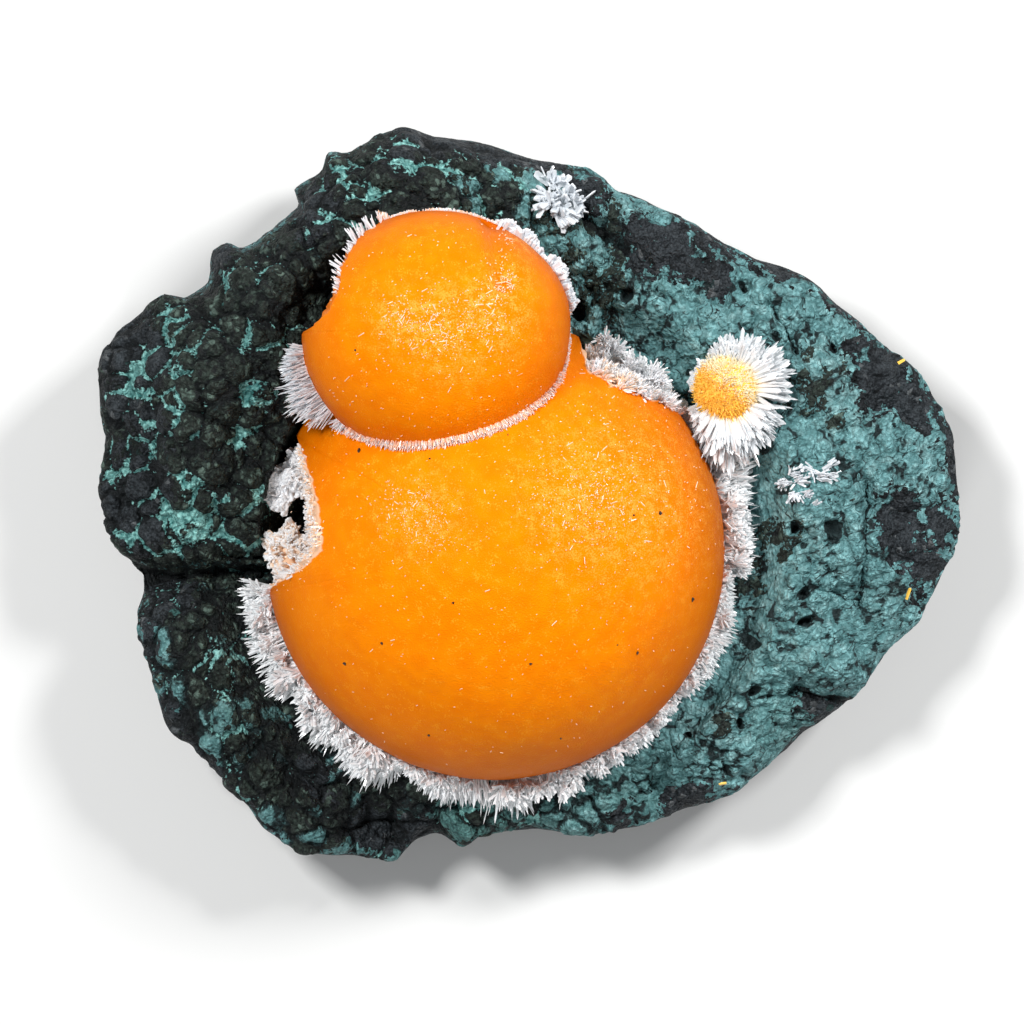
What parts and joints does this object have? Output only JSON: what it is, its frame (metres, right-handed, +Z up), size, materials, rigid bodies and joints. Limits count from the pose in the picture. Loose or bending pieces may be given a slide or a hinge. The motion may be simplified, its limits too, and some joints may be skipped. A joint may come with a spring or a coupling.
{
  "type": "thomsonite specimen on basalt",
  "caption": "Natural mineral specimen: a large and a smaller orange thomsonite dome ringed by white needles, set in a loose piece of basalt crusted with celadonite.",
  "frame": {"origin": "on the flat spot under the rock, straight below the middle of the large dome", "axes": "+X along the rock's longest extent, +Y towards the side that the smaller dome grows on, +Z up out of the crystal side"},
  "size_m": [0.075, 0.0642, 0.0335],
  "materials": {
    "basalt_matrix": "rough dark basalt, mostly crusted with dull blue-green celadonite",
    "orange_twin_ball": "velvety, slightly waxy orange needle ends",
    "ball_skirt": "glassy white needles",
    "upper_collar": "glassy white needles",
    "daisy_tuft": "golden needle ends with glassy white rays",
    "left_upper_spray": "glassy white blades",
    "left_lower_spray": "glassy white blades",
    "top_crystal_patch": "glassy grey-white blocks",
    "right_crystal_patch": "glassy white rods"
  },
  "bodies": {
    "root": {"basalt_matrix": "basalt_matrix", "orange_twin_ball": "orange_twin_ball", "ball_skirt": "ball_skirt", "upper_collar": "upper_collar", "daisy_tuft": "daisy_tuft", "left_upper_spray": "left_upper_spray", "left_lower_spray": "left_lower_spray", "top_crystal_patch": "top_crystal_patch", "right_crystal_patch": "right_crystal_patch"}
  },
  "joints": []
}
